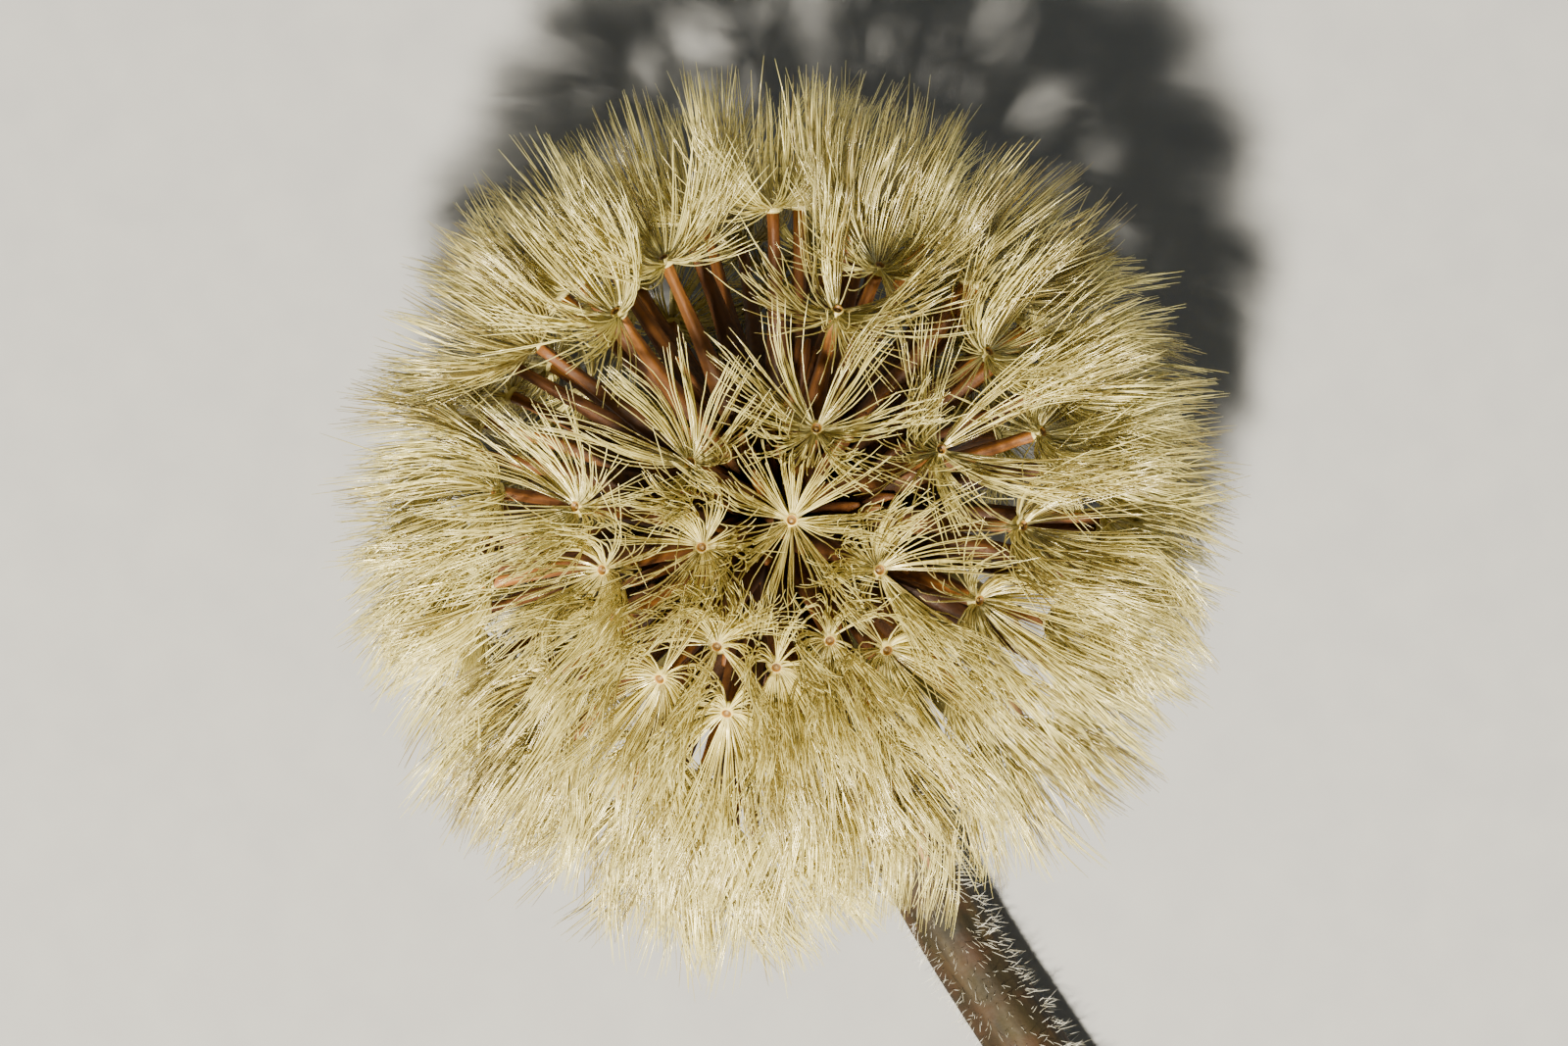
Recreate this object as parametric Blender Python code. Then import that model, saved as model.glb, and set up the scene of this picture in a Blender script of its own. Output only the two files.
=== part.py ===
"""A gerbera head gone to seed, lying on a table with its cut stalk.

The head is a globe of dry fruits. Each fruit, an achene, stands on the round receptacle and carries
a tuft of pale bristles, the pappus. The stalk leaves the back of the head, bends down to the table
and runs along it. Lengths are in metres, +Z is up and the table is the plane z = 0.
"""

import math
import random

import bmesh
import bpy
import numpy as np
from mathutils import Matrix, Vector

MM = 0.001

# Driving dimensions of the head.
TUFT_RADIUS = 17.2 * MM  # from the head's centre to the foot of each tuft
BRISTLE_LENGTH = 9.6 * MM
HEAD_HEIGHT = 21.0 * MM  # the head's centre above the table, its lowest bristles pressed flat
HEAD_X = -36.85 * MM  # the head's centre, so that the origin is the middle of the whole part
HEAD_Y = 0.03 * MM
SEAT_GAP = 0.3 * MM  # between pieces that rest on each other

# How the head is turned. The stalk's far part runs along +X.
APEX_LEAN = math.radians(42)  # the flower's axis, from straight up
APEX_TURN = math.radians(-14)  # the stalk's first direction in plan, from +X
PICTURE_TURN = math.radians(-57)  # +X as seen from above in the picture, from its right-hand side
EYE_DISTANCE = 320 * MM  # from the head's centre to the eye above it
BARE_PATCH_TURN = math.radians(-64)  # the bare patch above the stalk, as seen in the picture
BARE_PATCH_RISE = math.radians(6)
BARE_PATCH = math.radians(26)  # its radius, as an angle at the head's centre

# Receptacle and achenes.
RECEPTACLE_RADIUS = 5.2 * MM
RECEPTACLE_DOME = 4.2 * MM
RECEPTACLE_CUT = 3.0 * MM  # its flat underside, below the centre
ACHENE_SUNK = 0.9 * MM
ACHENE_SIDES = 4
ACHENE_PROFILE = ((0.0, 0.45), (0.30, 0.74), (0.62, 0.50), (1.0, 0.33))  # share of length, radius mm
ROOT_SHARE = 0.84  # an achene's root lies at this share of its tip's angle from the apex

# Tufts.
LOWEST_TUFT = math.radians(125)  # from the apex
BARE_APEX = math.radians(13)
SPREAD_TUFTS = 290  # places for a whole globe
TUFT_SPACING = 3.55 * MM  # at the widest part of the head and under it
APEX_SPACING = 5.6 * MM  # near the apex, where the achenes stand further apart
CROWN = math.radians(62)  # from the apex to where the tufts are closest
TUFT_JITTER = 0.40 * MM
SEEN_HEIGHT = 9.0 * MM  # tufts higher than this over the centre are all in SEEN_TUFTS
HUB_SIDES = 9
HUB_FOOT = 0.60 * MM
HUB_TOP = 0.30 * MM
HUB_HEIGHT = 0.60 * MM
OUTER_BRISTLES = (50, 76)  # degrees from the achene's axis
INNER_BRISTLES = (26, 50)
SWEEP = math.radians(26)  # how far the outer tufts lean back, away from the apex
SWEPT_FROM = math.radians(28)  # from the apex
SWEPT_FULLY = math.radians(66)
BRISTLE_CLEAR = 0.32 * MM
HUB_CLEAR = 0.90 * MM
TRIES = 20  # directions tried for a bristle before a shorter one
SHORTENED = (1.0, 0.85, 0.7, 0.5)

# The tufts that face the eye, across and up in the picture, in mm from the head's centre.
SEEN_TUFTS = (
    (1.7, 5.3), (8.2, 4.2), (0.4, 0.5), (-4.3, -0.9), (5.0, -2.1), (10.2, -3.7),
    (2.4, -5.8), (5.4, -6.3), (-3.5, -6.1), (-0.4, -7.2), (-6.5, -7.8), (-3.0, -9.6),
    (-8.8, 11.4), (-6.3, 14.2), (-0.6, 17.0), (2.8, 11.5), (10.7, 9.3), (5.0, 13.8),
    (13.5, 5.1), (12.5, 0.2), (-9.5, -2.1), (-10.9, 1.2), (-8.9, -4.6),
    (5.3, -11.2), (0.9, -10.2), (-7.6, -11.2), (-2.9, -17.0), (-13.2, 9.8), (-16.6, 4.0),
    (-15.7, -2.9), (16.2, -1.9), (9.6, -8.2), (-12.2, -7.9), (1.6, -14.0), (-4.4, -13.2),
    (14.1, -4.9), (12.8, -11.0), (6.0, -14.2), (-4.9, 3.5),
)  # fmt: skip

# Bracts under the head.
COLLAR_TOP = 3.5 * MM
COLLAR_FOOT = 2.6 * MM
COLLAR_HEIGHT = 2.3 * MM
BRACTS_IN_ROW = 11
BRACT_ROWS = ((14.5, 58, 14), (17.0, 50, 8))  # length mm, first and last angle off the stalk
BRACT_SUNK = 0.5 * MM
BRACT_WIDTH = 1.7 * MM
BRACT_THICKNESS = 0.62 * MM
BRACT_STEPS = 4
BRACT_CLEAR = 1.1 * MM  # from a bract's middle line to the stalk's side

# Stalk.
NECK_RADIUS = 2.2 * MM
STALK_END_RADIUS = 2.6 * MM
NECK_BEND = 26 * MM
STALK_ON_TABLE = 72 * MM
STALK_STEP = 3.0 * MM
STALK_DRIFT = math.radians(6)
SWELLING = 7.0 * MM  # length over which the stalk widens to meet the bracts

MERGE = 0.00001
SEED = 11
COLOURS = {
    "stalk": ((0.24, 0.22, 0.12), 0.75),
    "bracts": ((0.36, 0.31, 0.13), 0.7),
    "achenes_on_receptacle": ((0.45, 0.20, 0.07), 0.55),
    "pappus_tufts": ((0.86, 0.80, 0.58), 0.45),
}

HEAD = Vector((HEAD_X, HEAD_Y, HEAD_HEIGHT))
STALK_WAY = Vector(
    (
        math.sin(APEX_LEAN) * math.cos(APEX_TURN),
        math.sin(APEX_LEAN) * math.sin(APEX_TURN),
        -math.cos(APEX_LEAN),
    )
)
APEX = -STALK_WAY
PICTURE_RIGHT = Vector((math.cos(PICTURE_TURN), -math.sin(PICTURE_TURN), 0))
PICTURE_UP = Vector((math.sin(PICTURE_TURN), math.cos(PICTURE_TURN), 0))
BARE_MIDDLE = (
    PICTURE_RIGHT * math.cos(BARE_PATCH_TURN) * math.cos(BARE_PATCH_RISE)
    + PICTURE_UP * math.sin(BARE_PATCH_TURN) * math.cos(BARE_PATCH_RISE)
    + Vector((0, 0, math.sin(BARE_PATCH_RISE)))
)


def clear_scene():
    for obj in list(bpy.data.objects):
        bpy.data.objects.remove(obj)


def new_collection(name):
    made = bpy.data.collections.new(name)
    bpy.context.scene.collection.children.link(made)
    return made


def material(name):
    colour, roughness = COLOURS[name]
    made = bpy.data.materials.new(name)
    made.use_nodes = True
    shader = made.node_tree.nodes["Principled BSDF"]
    shader.inputs["Base Color"].default_value = (*colour, 1)
    shader.inputs["Roughness"].default_value = roughness
    shader.inputs["Metallic"].default_value = 0
    return made


def mesh_object(name, bm, collection):
    mesh = bpy.data.meshes.new(name)
    bm.to_mesh(mesh)
    bm.free()
    obj = bpy.data.objects.new(name, mesh)
    collection.objects.link(obj)
    return obj


def turned_to(direction, spin=0.0):
    """The rotation that takes +Z to the direction."""
    return direction.to_track_quat("Z", "Y").to_matrix().to_4x4() @ Matrix.Rotation(spin, 4, "Z")


def union(body, repeats):
    """Joins a collection's objects to the body and removes them."""
    joiner = body.modifiers.new("join", "BOOLEAN")
    joiner.operation = "UNION"
    joiner.operand_type = "COLLECTION"
    joiner.collection = repeats
    shape = body.evaluated_get(bpy.context.evaluated_depsgraph_get())
    joined = bpy.data.meshes.new_from_object(shape)
    body.modifiers.clear()
    body.data = joined
    for obj in list(repeats.objects):
        bpy.data.objects.remove(obj)
    bpy.data.collections.remove(repeats)


def lifted(across, up):
    """The direction from the head's centre of a tuft seen at this place in the picture."""
    scale = 1.0
    for _ in range(6):
        x, y = across * MM * scale, up * MM * scale
        height = math.sqrt(max(0.0, TUFT_RADIUS**2 - x * x - y * y))
        scale = 1 - height / EYE_DISTANCE
    return (PICTURE_RIGHT * x + PICTURE_UP * y + Vector((0, 0, height))).normalized()


def globe_directions(count):
    """Directions spread evenly over a globe in a sunflower spiral about the flower's axis."""
    golden = math.pi * (3 - math.sqrt(5))
    frame = turned_to(APEX).to_3x3()
    for k in range(count):
        polar = math.acos(1 - 2 * (k + 0.5) / count)
        turn = k * golden
        flat = math.sin(polar)
        yield polar, frame @ Vector(
            (flat * math.cos(turn), flat * math.sin(turn), math.cos(polar))
        )


def tuft_directions(rng):
    """Every tuft's direction: those seen in the picture, then the rule for the rest."""
    kept = [lifted(across, up) for across, up in SEEN_TUFTS]
    for polar, direction in globe_directions(SPREAD_TUFTS):
        shift = Vector([rng.uniform(-1, 1) for _ in range(3)]) * TUFT_JITTER
        moved = (direction * TUFT_RADIUS + shift).normalized()
        if not BARE_APEX < polar < LOWEST_TUFT or moved.angle(BARE_MIDDLE) < BARE_PATCH:
            continue
        seen = moved.z * TUFT_RADIUS > SEEN_HEIGHT
        nearer = min(1.0, polar / CROWN)
        spacing = APEX_SPACING + (TUFT_SPACING - APEX_SPACING) * nearer
        crowded = any((moved - other).length * TUFT_RADIUS < spacing for other in kept)
        if not seen and not crowded:
            kept.append(moved)
    return kept


def stalk_path():
    """Points and radii of the stalk from under the head to its cut end, relative to the head."""
    point = STALK_WAY * (RECEPTACLE_CUT + COLLAR_HEIGHT + 2 * SEAT_GAP)
    first_pitch = math.pi / 2 - APEX_LEAN
    table = -HEAD_HEIGHT + NECK_RADIUS
    arc_drop = NECK_BEND * (1 - math.cos(first_pitch))
    straight = (point.z - table - arc_drop) / math.sin(first_pitch)
    arc = NECK_BEND * first_pitch
    total = straight + arc + STALK_ON_TABLE
    steps = round(total / STALK_STEP)
    fine = 20
    step = total / (steps * fine)
    path = [(point.copy(), COLLAR_FOOT)]
    for k in range(steps * fine):
        along = (k + 0.5) * step
        bent = min(1.0, max(0.0, (along - straight) / arc))
        laid = max(0.0, (along - straight - arc) / STALK_ON_TABLE)
        pitch = first_pitch * (1 - bent)
        yaw = APEX_TURN * (1 - bent) + STALK_DRIFT * laid
        point += step * Vector(
            (
                math.cos(pitch) * math.cos(yaw),
                math.cos(pitch) * math.sin(yaw),
                -math.sin(pitch),
            )
        )
        if (k + 1) % fine == 0:
            radius = NECK_RADIUS + (STALK_END_RADIUS - NECK_RADIUS) * laid
            swollen = max(0.0, 1 - along / SWELLING) ** 2
            resting = point + Vector((0, 0, radius - NECK_RADIUS))
            path.append((resting, radius + (COLLAR_FOOT - NECK_RADIUS) * swollen))
    return path


def build_stalk(path, collection):
    curve = bpy.data.curves.new("stalk", "CURVE")
    curve.dimensions = "3D"
    curve.bevel_depth = NECK_RADIUS
    curve.bevel_resolution = 4
    curve.use_fill_caps = True
    spline = curve.splines.new("POLY")
    spline.points.add(len(path) - 1)
    for spot, (point, radius) in zip(spline.points, path, strict=True):
        spot.co = (*point, 1)
        spot.radius = radius / NECK_RADIUS
    tube = bpy.data.objects.new("tube", curve)
    collection.objects.link(tube)
    bpy.context.view_layer.update()
    mesh = bpy.data.meshes.new_from_object(tube)
    bpy.data.objects.remove(tube)
    bm = bmesh.new()
    bm.from_mesh(mesh)
    bmesh.ops.remove_doubles(bm, verts=bm.verts, dist=MERGE)
    return mesh_object("stalk", bm, collection)


def extruded(bm, cap, move):
    """Extrudes a cap face by a move. The first cap stays, as the shape's other end."""
    inner = len(bm.faces) > 1
    made = bmesh.ops.extrude_face_region(bm, geom=[cap])["geom"]
    if inner:
        bmesh.ops.delete(bm, geom=[cap], context="FACES_ONLY")
    verts = [item for item in made if isinstance(item, bmesh.types.BMVert)]
    bmesh.ops.translate(bm, verts=verts, vec=move)
    return next(item for item in made if isinstance(item, bmesh.types.BMFace))


def achene_root(direction):
    """Where an achene stands on the receptacle. The outer ones lean down from its rim."""
    polar = direction.angle(APEX) * ROOT_SHARE
    side = (direction - APEX * direction.dot(APEX)).normalized()
    reach = 1 / math.hypot(
        math.sin(polar) / RECEPTACLE_RADIUS, math.cos(polar) / RECEPTACLE_DOME
    )
    return (APEX * math.cos(polar) + side * math.sin(polar)) * (reach - ACHENE_SUNK)


def build_achene(direction, collection):
    root = achene_root(direction)
    tip = direction * (TUFT_RADIUS - SEAT_GAP)
    line = tip - root
    (_, first), *others = ACHENE_PROFILE
    bm = bmesh.new()
    bmesh.ops.create_circle(bm, cap_ends=True, segments=ACHENE_SIDES, radius=first * MM)
    (cap,) = bm.faces
    reached, radius = 0.0, first
    for share, wider in others:
        cap = extruded(bm, cap, (0, 0, (share - reached) * line.length))
        bmesh.ops.scale(bm, verts=cap.verts, vec=(wider / radius, wider / radius, 1))
        reached, radius = share, wider
    bmesh.ops.recalc_face_normals(bm, faces=bm.faces)
    placed = Matrix.Translation(root) @ turned_to(line.normalized())
    bmesh.ops.transform(bm, verts=bm.verts, matrix=placed)
    return mesh_object("achene", bm, collection)


def build_achenes(directions, collection):
    """The receptacle, a dome with a flat underside, and the achenes fused to it."""
    bm = bmesh.new()
    bmesh.ops.create_uvsphere(bm, u_segments=16, v_segments=9, radius=RECEPTACLE_RADIUS)
    bmesh.ops.scale(bm, verts=bm.verts, vec=(1, 1, RECEPTACLE_DOME / RECEPTACLE_RADIUS))
    cut = bmesh.ops.bisect_plane(
        bm,
        geom=[*bm.verts, *bm.edges, *bm.faces],
        plane_co=(0, 0, -RECEPTACLE_CUT),
        plane_no=(0, 0, -1),
        clear_outer=True,
    )
    rim = [item for item in cut["geom_cut"] if isinstance(item, bmesh.types.BMEdge)]
    bmesh.ops.contextual_create(bm, geom=rim)
    bmesh.ops.recalc_face_normals(bm, faces=bm.faces)
    bmesh.ops.transform(bm, verts=bm.verts, matrix=turned_to(APEX))
    body = mesh_object("achenes_on_receptacle", bm, collection)
    repeats = new_collection("achenes_to_join")
    for direction in directions:
        build_achene(direction, repeats)
    union(body, repeats)
    return body


def clear_of_stalk(point, path):
    """The point, moved away from the stalk where it lies too near."""
    for (start, _), (end, radius) in zip(path, path[1:]):
        way = end - start
        share = min(1.0, max(0.0, (point - start).dot(way) / way.length_squared))
        off = point - start.lerp(end, share)
        if off.length < radius + BRACT_CLEAR:
            point = point + off * ((radius + BRACT_CLEAR) / off.length - 1)
    return point


def bract_line(row, place, path):
    """The middle line of one bract, root to tip, relative to the head's centre."""
    length, first, last = BRACT_ROWS[row]
    turn = 2 * math.pi * (place + 0.5 * row) / BRACTS_IN_ROW
    side = turned_to(STALK_WAY).to_3x3() @ Vector((math.cos(turn), math.sin(turn), 0))
    share = 0.3 + 0.2 * row
    down = RECEPTACLE_CUT + SEAT_GAP + COLLAR_HEIGHT * share
    out = COLLAR_TOP + (COLLAR_FOOT - COLLAR_TOP) * share - BRACT_SUNK
    point = STALK_WAY * down + side * out
    line = [point.copy()]
    for k in range(BRACT_STEPS):
        share = k / (BRACT_STEPS - 1)
        angle = math.radians(first + (last - first) * share)
        way = STALK_WAY * math.cos(angle) + side * math.sin(angle)
        point += way * (length * MM / BRACT_STEPS)
        point = clear_of_stalk(point, path)
        point.z = max(point.z, -HEAD_HEIGHT + BRACT_THICKNESS)
        line.append(point.copy())
    return line, side


def build_bract(line, side, collection):
    """A thin blade along the line, widest a third of the way down and pointed at the tip."""
    widths = (0.75, 1.0, 0.95, 0.7, 0.16)
    first = (line[1] - line[0]).normalized()
    across = first.cross(side).normalized()
    flat = across.cross(first)
    bm = bmesh.new()
    bmesh.ops.create_grid(bm, x_segments=1, y_segments=1, size=0.5)
    (cap,) = bm.faces
    frame = Matrix((across, flat, first)).transposed().to_4x4()
    size = Matrix.Diagonal((BRACT_WIDTH * widths[0], BRACT_THICKNESS, 1, 1))
    place = Matrix.Translation(line[0]) @ frame @ size
    bmesh.ops.transform(bm, verts=bm.verts, matrix=place)
    for k in range(1, len(line)):
        cap = extruded(bm, cap, line[k] - line[k - 1])
        narrow = widths[k] / widths[k - 1]
        for vert in cap.verts:
            off = (vert.co - line[k]).dot(across)
            vert.co += across * off * (narrow - 1)
    bmesh.ops.recalc_face_normals(bm, faces=bm.faces)
    return mesh_object("bract", bm, collection)


def build_bracts(lines, collection):
    """The collar between receptacle and stalk, with two rows of bracts fused to it."""
    bm = bmesh.new()
    bmesh.ops.create_cone(
        bm,
        cap_ends=True,
        segments=16,
        radius1=COLLAR_TOP,
        radius2=COLLAR_FOOT,
        depth=COLLAR_HEIGHT,
    )
    middle = STALK_WAY * (RECEPTACLE_CUT + SEAT_GAP + COLLAR_HEIGHT / 2)
    bmesh.ops.transform(
        bm, verts=bm.verts, matrix=Matrix.Translation(middle) @ turned_to(STALK_WAY)
    )
    body = mesh_object("bracts", bm, collection)
    repeats = new_collection("bracts_to_join")
    for line, side in lines:
        build_bract(line, side, repeats)
    union(body, repeats)
    return body


def least_gap(start, end, starts, ends):
    """The least distance from one straight line to each of many others."""
    along, others = end - start, ends - starts
    offset = start - starts
    a, e = along @ along, (others * others).sum(1)
    b, c, f = others @ along, offset @ along, (others * offset).sum(1)
    steep = np.maximum(a * e - b * b, 1e-18)
    near = np.clip((b * f - c * e) / steep, 0, 1)
    far = (b * near + f) / e
    near = np.where(far < 0, np.clip(-c / a, 0, 1), near)
    near = np.where(far > 1, np.clip((b - c) / a, 0, 1), near)
    far = np.clip(far, 0, 1)
    apart = offset + near[:, None] * along - far[:, None] * others
    return np.sqrt((apart * apart).sum(1))


def pressed(root, tip):
    """The tip of a bristle that would reach into the table, turned up to lie on it."""
    table = -HEAD_HEIGHT
    if tip.z >= table:
        return tip
    length = (tip - root).length
    drop = table - root.z
    flat = Vector((tip.x - root.x, tip.y - root.y, 0)).normalized()
    return root + flat * math.sqrt(length**2 - drop**2) + Vector((0, 0, drop))


class Thicket:
    """The bristles placed so far, and the hubs, stalk and bracts that they keep clear of."""

    def __init__(self, feet, solid_lines):
        self.hubs = np.array(feet, float)
        self.hub_tops = np.array([foot + foot.normalized() * HUB_HEIGHT for foot in feet])
        self.starts = np.zeros((0, 3))
        self.ends = np.zeros((0, 3))
        self.owners = np.zeros(0, int)
        self.solids = [
            (np.array(line[:-1], float), np.array(line[1:], float), keep)
            for line, keep in solid_lines
        ]

    def room(self, owner, root, tip):
        """The least distance to another tuft's bristle, or -1 where a solid is in the way."""
        start = np.array(root.lerp(tip, 0.05), float)
        end = np.array(tip, float)
        for starts, ends, keep in self.solids:
            if least_gap(start, end, starts, ends).min() < keep:
                return -1.0
        to_hubs = np.delete(least_gap(start, end, self.hubs, self.hub_tops), owner)
        if to_hubs.min() < HUB_CLEAR:
            return to_hubs.min() - HUB_CLEAR
        reach = np.linalg.norm(self.starts - start, axis=1) < 2.1 * BRISTLE_LENGTH
        others = (self.owners != owner) & reach
        if not others.any():
            return 1.0
        return float(least_gap(start, end, self.starts[others], self.ends[others]).min())

    def add(self, owner, root, tip):
        self.starts = np.vstack((self.starts, np.array(root, float)))
        self.ends = np.vstack((self.ends, np.array(tip, float)))
        self.owners = np.append(self.owners, owner)


def leant_back(way, direction):
    """A bristle's way, turned away from the apex. One that lies flat on that side turns less."""
    share = (direction.angle(APEX) - SWEPT_FROM) / (SWEPT_FULLY - SWEPT_FROM)
    axis = APEX.cross(direction).normalized()
    outward = axis.cross(direction)
    flat = max(0.0, way.dot(outward)) * direction.angle(way) / (math.pi / 2)
    turn = SWEEP * min(1.0, max(0.0, share)) * (1 - flat)
    return Matrix.Rotation(turn, 3, axis) @ way


def bristle_tip(thicket, owner, frame, root, turn, polar_range, rng):
    """The tip of one bristle: the first try that keeps clear, or else the clearest one."""
    best, best_room = None, -2.0
    for share in SHORTENED:
        for _ in range(TRIES):
            polar = math.radians(rng.uniform(*polar_range))
            azimuth = turn + rng.uniform(-0.5, 0.5) * math.pi / HUB_SIDES
            way = Vector(
                (
                    math.sin(polar) * math.cos(azimuth),
                    math.sin(polar) * math.sin(azimuth),
                    math.cos(polar),
                )
            )
            way = leant_back(frame.to_3x3() @ way, frame.to_3x3().col[2])
            length = BRISTLE_LENGTH * share * rng.uniform(0.93, 1.0)
            tip = pressed(root, root + way * length)
            room = thicket.room(owner, root, tip)
            if room >= BRISTLE_CLEAR:
                return tip
            if room > best_room:
                best, best_room = tip, room
    return best


def linked_pairs(feet):
    """For each tuft the nearest one already joined, so that the bristles interlock into one body."""
    joined, waiting, pairs = [0], set(range(1, len(feet))), {}
    while waiting:
        _, new, old = min(
            ((feet[a] - feet[b]).length, a, b) for a in waiting for b in joined
        )
        pairs[new] = old
        joined.append(new)
        waiting.remove(new)
    return pairs


def hub_mesh():
    """The ring at a tuft's foot, its side cut into triangles that bristles grow from."""
    bm = bmesh.new()
    bmesh.ops.create_cone(
        bm,
        cap_ends=True,
        segments=HUB_SIDES,
        radius1=HUB_FOOT,
        radius2=HUB_TOP,
        depth=HUB_HEIGHT,
        matrix=Matrix.Translation((0, 0, HUB_HEIGHT / 2)),
    )
    top = [vert for vert in bm.verts if vert.co.z > HUB_HEIGHT / 2]
    bmesh.ops.rotate(
        bm, verts=top, matrix=Matrix.Rotation(math.pi / HUB_SIDES, 3, "Z")
    )
    side = [face for face in bm.faces if len(face.verts) == 4]
    bmesh.ops.triangulate(bm, faces=side, quad_method="SHORT_EDGE")
    return bm


def build_tuft(number, foot, direction, link_to, thicket, collection, rng):
    """One tuft: a hub whose side faces are drawn out into bristles."""
    frame = Matrix.Translation(foot) @ turned_to(direction, rng.uniform(0, math.pi))
    bm = hub_mesh()
    sides = [face for face in bm.faces if len(face.verts) == 3]
    turn_of = {f: math.atan2(*f.calc_center_median().yx) for f in sides}
    low = [f for f in sides if f.calc_center_median().z < HUB_HEIGHT / 2]
    link = None
    if link_to is not None:
        target = frame.inverted() @ (link_to + link_to.normalized() * HUB_HEIGHT * 0.5)
        toward = math.atan2(target.y, target.x)
        link = min(low, key=lambda f: abs(math.remainder(turn_of[f] - toward, 2 * math.pi)))
    for face in sides:
        middle = face.calc_center_median()
        root = frame @ middle
        if face is link:
            tip = frame @ target
        else:
            spread = OUTER_BRISTLES if face in low else INNER_BRISTLES
            tip = bristle_tip(thicket, number, frame, root, turn_of[face], spread, rng)
        thicket.add(number, root, tip)
        grown = bmesh.ops.poke(bm, faces=[face])["verts"][0]
        grown.co = frame.inverted() @ tip
    bmesh.ops.triangulate(bm, faces=bm.faces)
    bmesh.ops.transform(bm, verts=bm.verts, matrix=frame)
    return mesh_object("tuft", bm, collection)


def build_pappus(directions, solid_lines, collection, rng):
    """All the tufts. Each sends one bristle into its neighbour, which makes them one body."""
    feet = [direction * TUFT_RADIUS for direction in directions]
    pairs = linked_pairs(feet)
    thicket = Thicket(feet, solid_lines)
    repeats = new_collection("tufts_to_join")
    body = build_tuft(0, feet[0], directions[0], None, thicket, collection, rng)
    body.name = "pappus_tufts"
    for number in pairs:
        target = feet[pairs[number]]
        build_tuft(number, feet[number], directions[number], target, thicket, repeats, rng)
    union(body, repeats)
    return body


def main():
    clear_scene()
    collection = new_collection("gerbera_seed_head")
    rng = random.Random(SEED)
    head = bpy.data.objects.new("head_centre", None)
    collection.objects.link(head)

    path = stalk_path()
    directions = tuft_directions(rng)
    places = [(row, k) for row in range(len(BRACT_ROWS)) for k in range(BRACTS_IN_ROW)]
    lines = [bract_line(row, k, path) for row, k in places]
    solid_lines = [([point for point, _ in path], STALK_END_RADIUS + SEAT_GAP)]
    solid_lines += [(line, BRACT_WIDTH / 2 + SEAT_GAP) for line, _ in lines]

    pieces = [
        build_stalk(path, collection),
        build_bracts(lines, collection),
        build_achenes(directions, collection),
        build_pappus(directions, solid_lines, collection, rng),
    ]
    for piece in pieces:
        piece.data.materials.clear()
        piece.data.materials.append(material(piece.name))
        piece.parent = head
    head.location = HEAD


main()
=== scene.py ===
"""A gerbera head gone to seed, lying on a pale table with its cut stalk.

Every tuft, achene and bract stands where the frame has it. Bristles, achenes, bracts, stalk and
down are closed strands, each laid along its own curve. Fine bristles take the place of the few thick
spikes that the frame's tufts have.
"""

import math
import random
from itertools import pairwise

import bmesh
import bpy
import numpy as np
from mathutils import Matrix, Vector


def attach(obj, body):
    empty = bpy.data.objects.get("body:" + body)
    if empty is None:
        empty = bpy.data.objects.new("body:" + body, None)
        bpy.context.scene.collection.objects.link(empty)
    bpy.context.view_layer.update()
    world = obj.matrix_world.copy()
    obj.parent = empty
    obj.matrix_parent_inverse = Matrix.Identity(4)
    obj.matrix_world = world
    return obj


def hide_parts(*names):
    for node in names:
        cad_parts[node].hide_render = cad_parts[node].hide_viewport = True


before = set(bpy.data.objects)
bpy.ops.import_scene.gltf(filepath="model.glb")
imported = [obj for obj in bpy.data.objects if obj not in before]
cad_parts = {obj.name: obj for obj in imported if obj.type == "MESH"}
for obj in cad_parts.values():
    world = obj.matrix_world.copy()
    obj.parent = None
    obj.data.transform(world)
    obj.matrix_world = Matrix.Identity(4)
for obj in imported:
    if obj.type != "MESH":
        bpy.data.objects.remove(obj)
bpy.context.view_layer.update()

MM = 0.001
SEED = 11

# The picture.
PIXELS_PER_MM = 19  # at the head's centre
PICTURE_WIDTH = 1600  # pixels
HEAD_UNDER_MIDDLE = 6.5  # pixels, of its centre under the picture's
EYE_DISTANCE = 320 * MM  # from the head's centre to the camera
PICTURE_TURN = math.radians(-57)  # of its upper side from +Y, clockwise

# The head, as the frame has it.
TUFT_RADIUS = 17.2 * MM  # from the head's centre to the foot of each tuft
BRISTLE_LENGTH = 9.6 * MM
HEAD_HEIGHT = 21.0 * MM  # of the head's centre over the table
HEAD_X = -36.85 * MM
HEAD_Y = 0.03 * MM
SEAT_GAP = 0.3 * MM  # between receptacle, collar and stalk
APEX_LEAN = math.radians(42)  # of the flower's axis from upright
APEX_TURN = math.radians(-14)  # of the stalk from +X, where it leaves the head
BARE_PATCH_TURN = math.radians(-64)  # of a side without unseen tufts, in the picture
BARE_PATCH_RISE = math.radians(6)  # of its middle over the head's centre
BARE_PATCH = math.radians(26)  # from its middle to its edge

RECEPTACLE_RADIUS = 5.2 * MM
RECEPTACLE_DOME = 4.2 * MM
RECEPTACLE_CUT = 3.0 * MM
ACHENE_SUNK = 0.9 * MM  # into the receptacle
ROOT_SHARE = 0.84  # an achene's angle from the apex at its foot, over that at its tuft

LOWEST_TUFT = math.radians(125)  # from the apex
BARE_APEX = math.radians(13)
SPREAD_TUFTS = 290  # places for a whole globe of them
TUFT_SPACING = 3.55 * MM
APEX_SPACING = 5.6 * MM
CROWN = math.radians(62)  # from the apex to where the spacing is at its closest
TUFT_JITTER = 0.40 * MM
SEEN_HEIGHT = 9.0 * MM  # over the head's centre, where only the tufts listed here stand

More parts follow.
